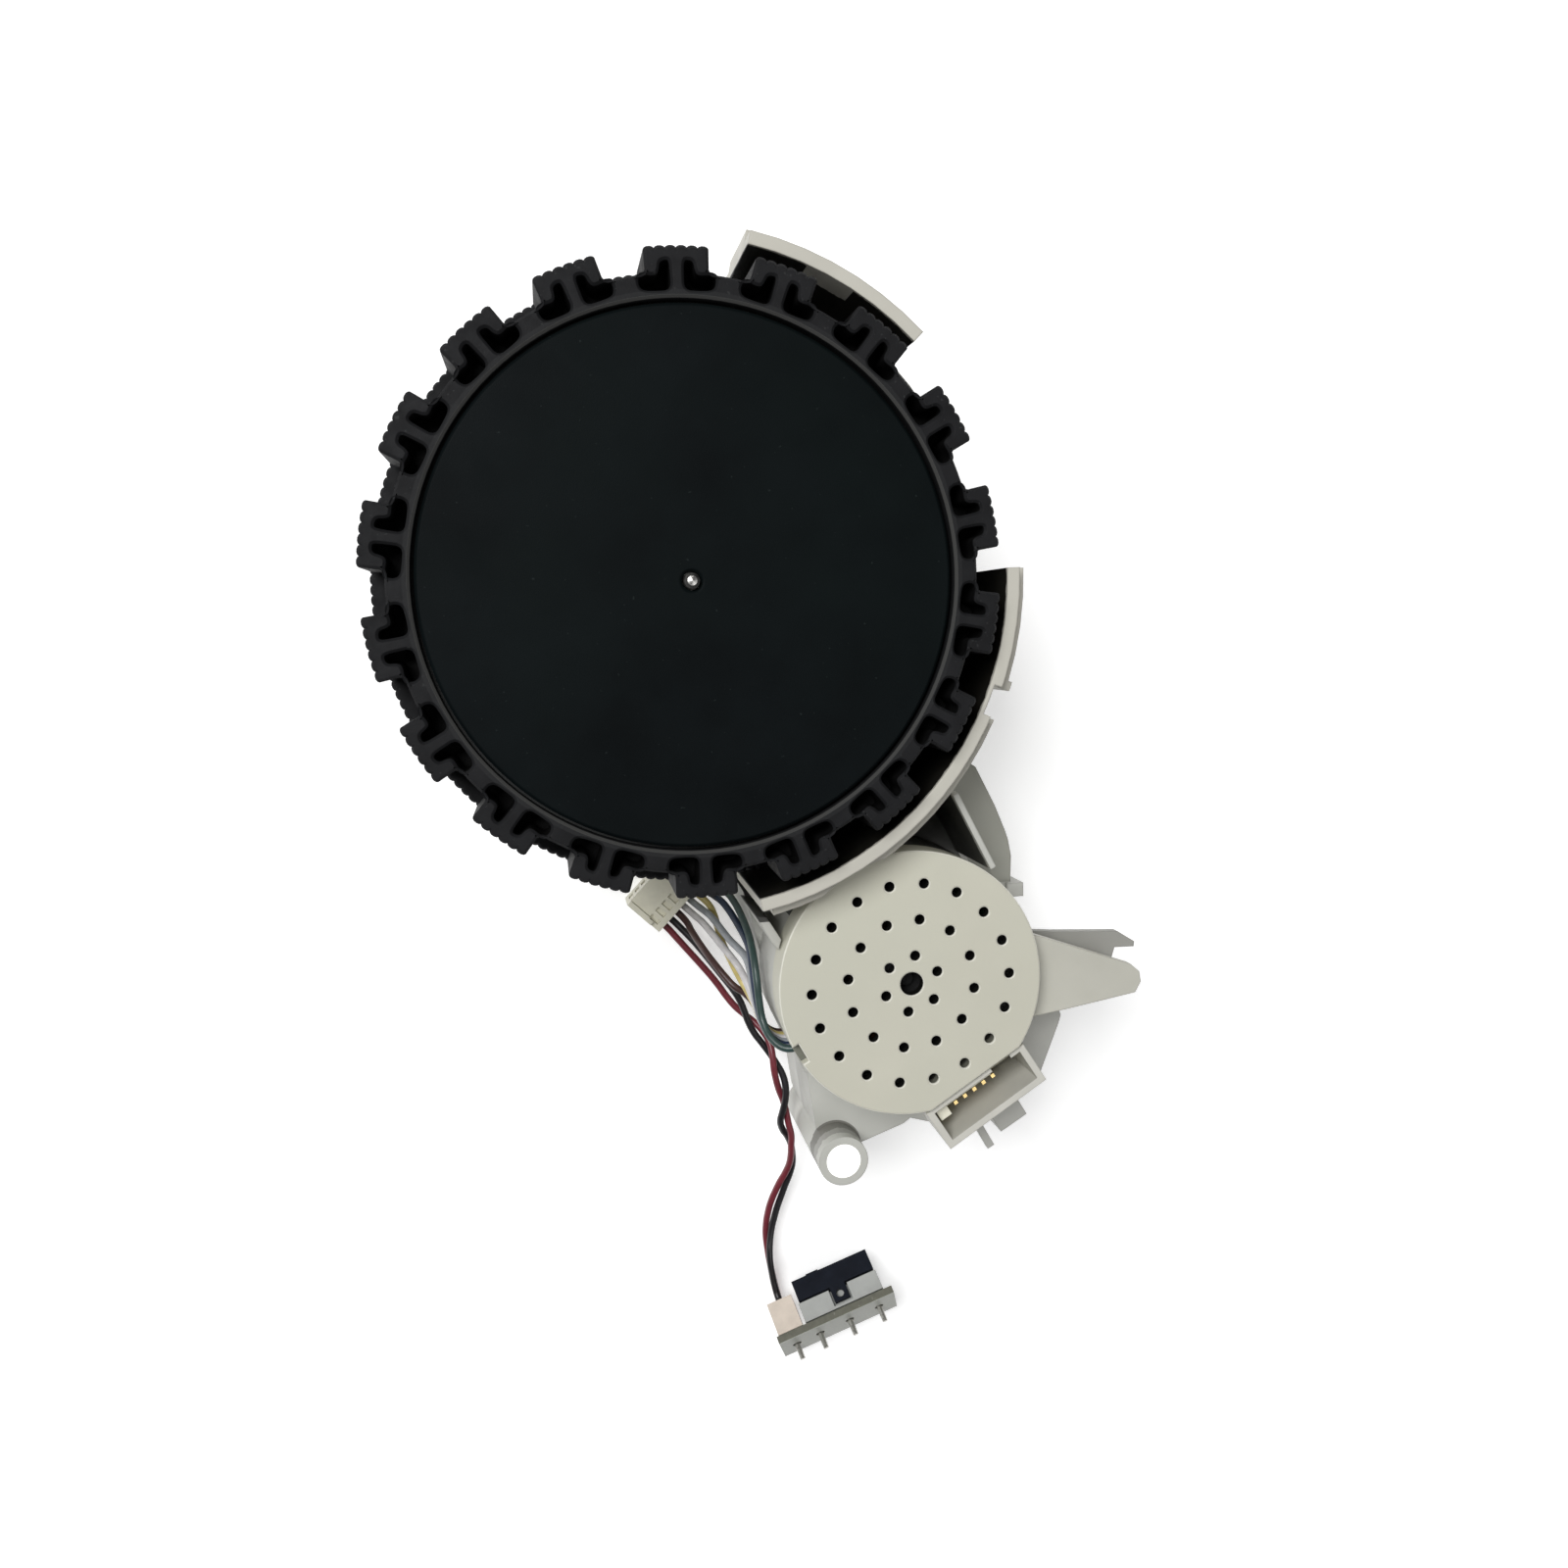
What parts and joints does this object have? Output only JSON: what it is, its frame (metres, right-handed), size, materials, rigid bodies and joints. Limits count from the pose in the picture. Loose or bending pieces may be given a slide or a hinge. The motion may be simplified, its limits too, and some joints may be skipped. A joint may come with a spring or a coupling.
{
  "type": "robot vacuum drive wheel module",
  "caption": "Robot vacuum drive-wheel module: ribbed tyre on a geared swing arm, curved wheel arch, round perforated motor cover, spring lever, harness plug and a microswitch on a lead.",
  "frame": {"origin": "the wheel axle's centre line at the flat back of the gearbox", "axes": "+Z along the wheel axle and out of the wheel's outer face, +X away from the floor side of the module, +Y from the motor towards the wheel"},
  "size_m": [0.0963, 0.1551, 0.0434],
  "materials": {
    "tyre": "matt moulded rubber",
    "black_plastic": "fine matt",
    "grey_plastic": "satin moulded",
    "cover_plastic": "satin moulded",
    "steel": "satin",
    "brass": "satin",
    "white_acetal": "satin",
    "black_switch_plastic": "satin",
    "copper_windings": "enamelled wire",
    "green_board": "lacquered board",
    "grey_board": "lacquered board",
    "ivory_nylon": "satin",
    "red_insulation": "satin",
    "black_insulation": "satin",
    "brown_insulation": "satin",
    "white_insulation": "satin",
    "grey_insulation": "satin",
    "dark_blue_insulation": "satin",
    "green_insulation": "satin",
    "yellow_insulation": "satin"
  },
  "bodies": {
    "base": {"gear_pin_first": "steel", "gear_pin_second": "steel", "gearbox_front_shell": "grey_plastic", "gearbox_rear_cover": "grey_plastic", "cover_screw_1": "steel", "cover_screw_2": "steel", "cover_screw_3": "steel", "cover_screw_4": "steel", "cover_screw_5": "steel", "axle_bush_front": "brass", "axle_bush_rear": "brass", "wheel_arch": "grey_plastic", "arch_screw_1": "steel", "arch_screw_2": "steel", "arch_screw_3": "steel", "motor_base": "steel", "motor_stator": "copper_windings", "motor_board": "green_board", "motor_cover": "cover_plastic", "lead_block": "ivory_nylon", "socket_frame": "grey_plastic", "socket_header": "ivory_nylon", "socket_pin_1": "brass", "socket_pin_2": "brass", "socket_pin_3": "brass", "socket_pin_4": "brass", "socket_pin_5": "brass", "spring_lever": "grey_plastic", "lead_brown": "brown_insulation", "lead_white": "white_insulation", "lead_grey": "grey_insulation", "lead_blue": "dark_blue_insulation", "lead_green": "green_insulation", "lead_yellow": "yellow_insulation", "harness_plug": "ivory_nylon", "switch_board": "grey_board", "switch_base": "grey_plastic", "switch_cover": "black_switch_plastic", "switch_pin_1": "steel", "switch_pin_2": "steel", "switch_pin_3": "steel", "switch_pin_4": "steel", "switch_connector": "ivory_nylon", "switch_wire_red": "red_insulation", "switch_wire_black": "black_insulation"},
    "wheel": {"tyre": "tyre", "wheel_hub": "black_plastic", "hub_cap": "black_plastic", "wheel_axle": "steel", "gear_output": "white_acetal"},
    "gear_two": {"gear_second": "white_acetal"},
    "gear_one": {"gear_first": "black_switch_plastic"},
    "rotor": {"motor_rotor": "steel", "motor_shaft": "steel", "motor_pinion": "brass"},
    "plunger": {"switch_plunger": "black_switch_plastic"}
  },
  "joints": [
    {"name": "wheel_spin", "type": "hinge", "parent": "base", "child": "wheel", "pos_m": [0, 0, 0], "axis": [0, 0, 1], "continuous": true},
    {"name": "gear_two_spin", "type": "hinge", "parent": "base", "child": "gear_two", "pos_m": [0.01454, -0.01908, 0], "axis": [0, 0, 1], "continuous": true},
    {"name": "gear_one_spin", "type": "hinge", "parent": "base", "child": "gear_one", "pos_m": [0.0229, -0.03524, 0], "axis": [0, 0, 1], "continuous": true},
    {"name": "motor_spin", "type": "hinge", "parent": "base", "child": "rotor", "pos_m": [0.0263, -0.0509, 0], "axis": [0, 0, 1], "continuous": true},
    {"name": "switch_press", "type": "slide", "parent": "base", "child": "plunger", "axis": [0.2147, -0.6607, 0.7193], "range_m": [0, 0.0004], "stiffness_N_per_m": 100}
  ],
  "couplings": [
    {"joint": "gear_one_spin", "follows": "motor_spin", "ratio": -0.18519},
    {"joint": "gear_two_spin", "follows": "motor_spin", "ratio": 0.055556},
    {"joint": "wheel_spin", "follows": "motor_spin", "ratio": -0.018519}
  ]
}
